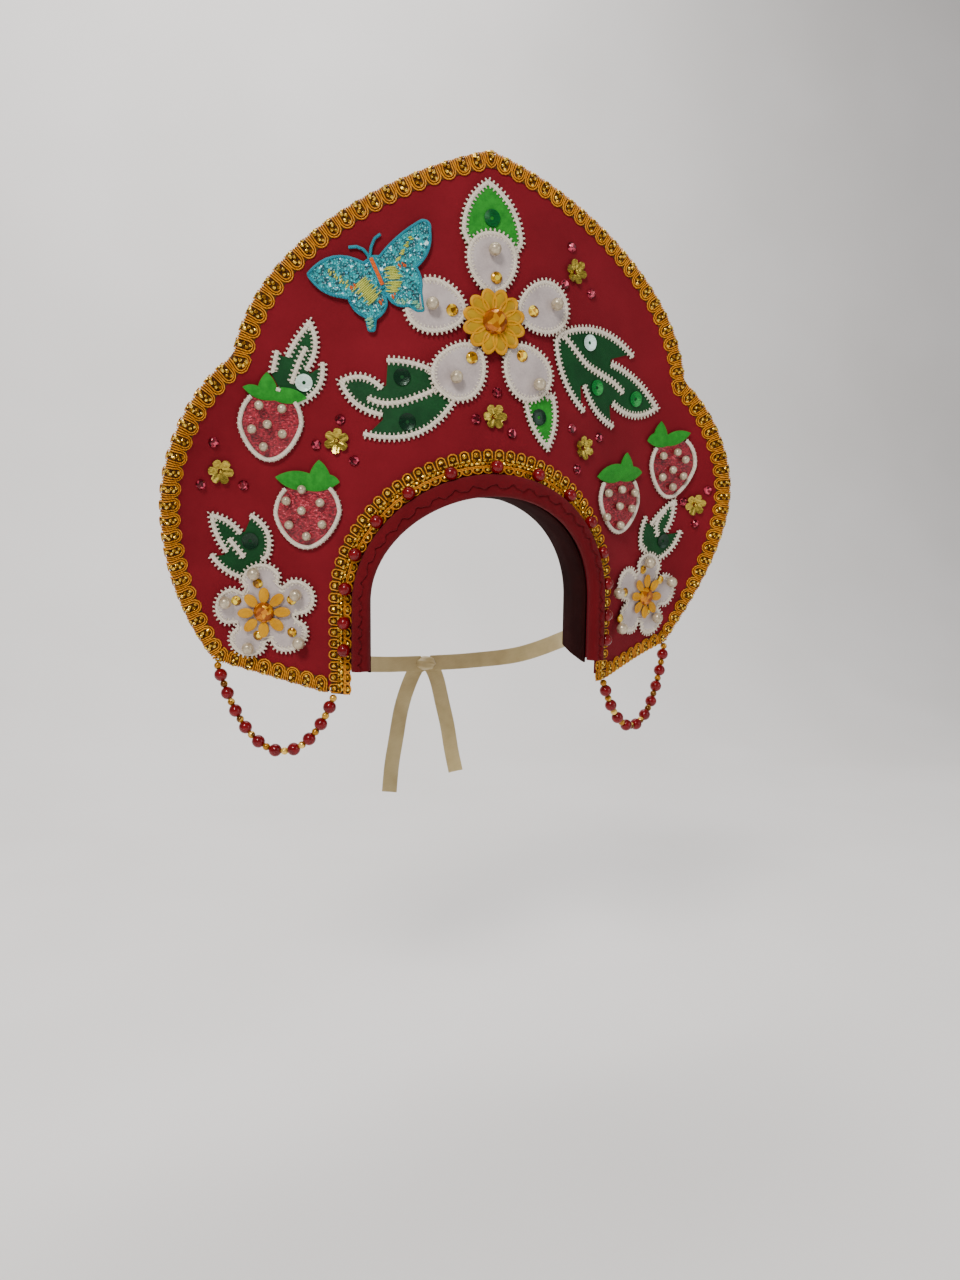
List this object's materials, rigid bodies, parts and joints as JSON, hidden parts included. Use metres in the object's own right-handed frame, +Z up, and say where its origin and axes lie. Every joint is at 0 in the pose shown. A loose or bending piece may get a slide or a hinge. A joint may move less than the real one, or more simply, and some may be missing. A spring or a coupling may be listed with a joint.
{
  "type": "kokoshnik headdress",
  "caption": "Tall crescent kokoshnik of stiffened crimson cloth with braided edge, padded forehead rim, sewn-on flowers and fruit, bead swags and ribbon ties.",
  "frame": {"origin": "where the crown of the head meets the inside of the headband, on the middle plane, half way back in the band", "axes": "+X across the face towards the picture's right (the wearer's left), +Y to the back of the head, +Z up; the decorated front faces -Y"},
  "size_m": [0.3946, 0.1737, 0.4294],
  "materials": {
    "crest_cloth": "matt",
    "gold_braid": "lurex cord",
    "padded_cloth": "matt",
    "lining_cloth": "matt",
    "sequin_cloth": "sequinned",
    "yellow_plastic": "glossy",
    "amber_stone": "faceted",
    "light_green_cloth": "satin",
    "dark_green_cloth": "satin",
    "red_pearl": "pearly",
    "satin": "satin",
    "foil_cloth": "glittering",
    "gold_foil": "metallized",
    "ribbon": "satin"
  },
  "bodies": {
    "root": {"arch_bead_01": "red_pearl", "arch_bead_02": "red_pearl", "arch_bead_03": "red_pearl", "arch_bead_04": "red_pearl", "arch_bead_05": "red_pearl", "arch_bead_06": "red_pearl", "arch_bead_07": "red_pearl", "arch_bead_08": "red_pearl", "arch_bead_09": "red_pearl", "arch_bead_10": "red_pearl", "arch_bead_11": "red_pearl", "arch_bead_12": "red_pearl", "arch_bead_13": "red_pearl", "arch_bead_14": "red_pearl", "arch_bead_15": "red_pearl", "arch_braid": "gold_braid", "bead_swag_left": "red_pearl", "bead_swag_right": "red_pearl", "blossom_left": "satin", "blossom_right": "satin", "butterfly": "sequin_cloth", "calyx_lower_left": "light_green_cloth", "calyx_lower_right": "light_green_cloth", "calyx_upper_left": "light_green_cloth", "calyx_upper_right": "light_green_cloth", "crest_panel": "crest_cloth", "daisy": "yellow_plastic", "daisy_stone": "amber_stone", "edge_braid": "gold_braid", "flower_sequin_1": "gold_foil", "flower_sequin_2": "gold_foil", "flower_sequin_3": "gold_foil", "flower_sequin_4": "gold_foil", "flower_sequin_5": "gold_foil", "flower_sequin_6": "gold_foil", "headband": "lining_cloth", "leaf_left": "dark_green_cloth", "leaf_low": "light_green_cloth", "leaf_right": "dark_green_cloth", "leaf_top": "light_green_cloth", "petal_1": "satin", "petal_2": "satin", "petal_3": "satin", "petal_4": "satin", "petal_5": "satin", "rim_roll": "padded_cloth", "rosette_left": "yellow_plastic", "rosette_right": "yellow_plastic", "small_leaf_left": "dark_green_cloth", "small_leaf_right": "dark_green_cloth", "small_leaf_upper_left": "dark_green_cloth", "strawberry_lower_left": "foil_cloth", "strawberry_lower_right": "foil_cloth", "strawberry_upper_left": "foil_cloth", "strawberry_upper_right": "foil_cloth", "tie_knot": "ribbon", "tie_left": "ribbon", "tie_right": "ribbon"}
  },
  "joints": []
}
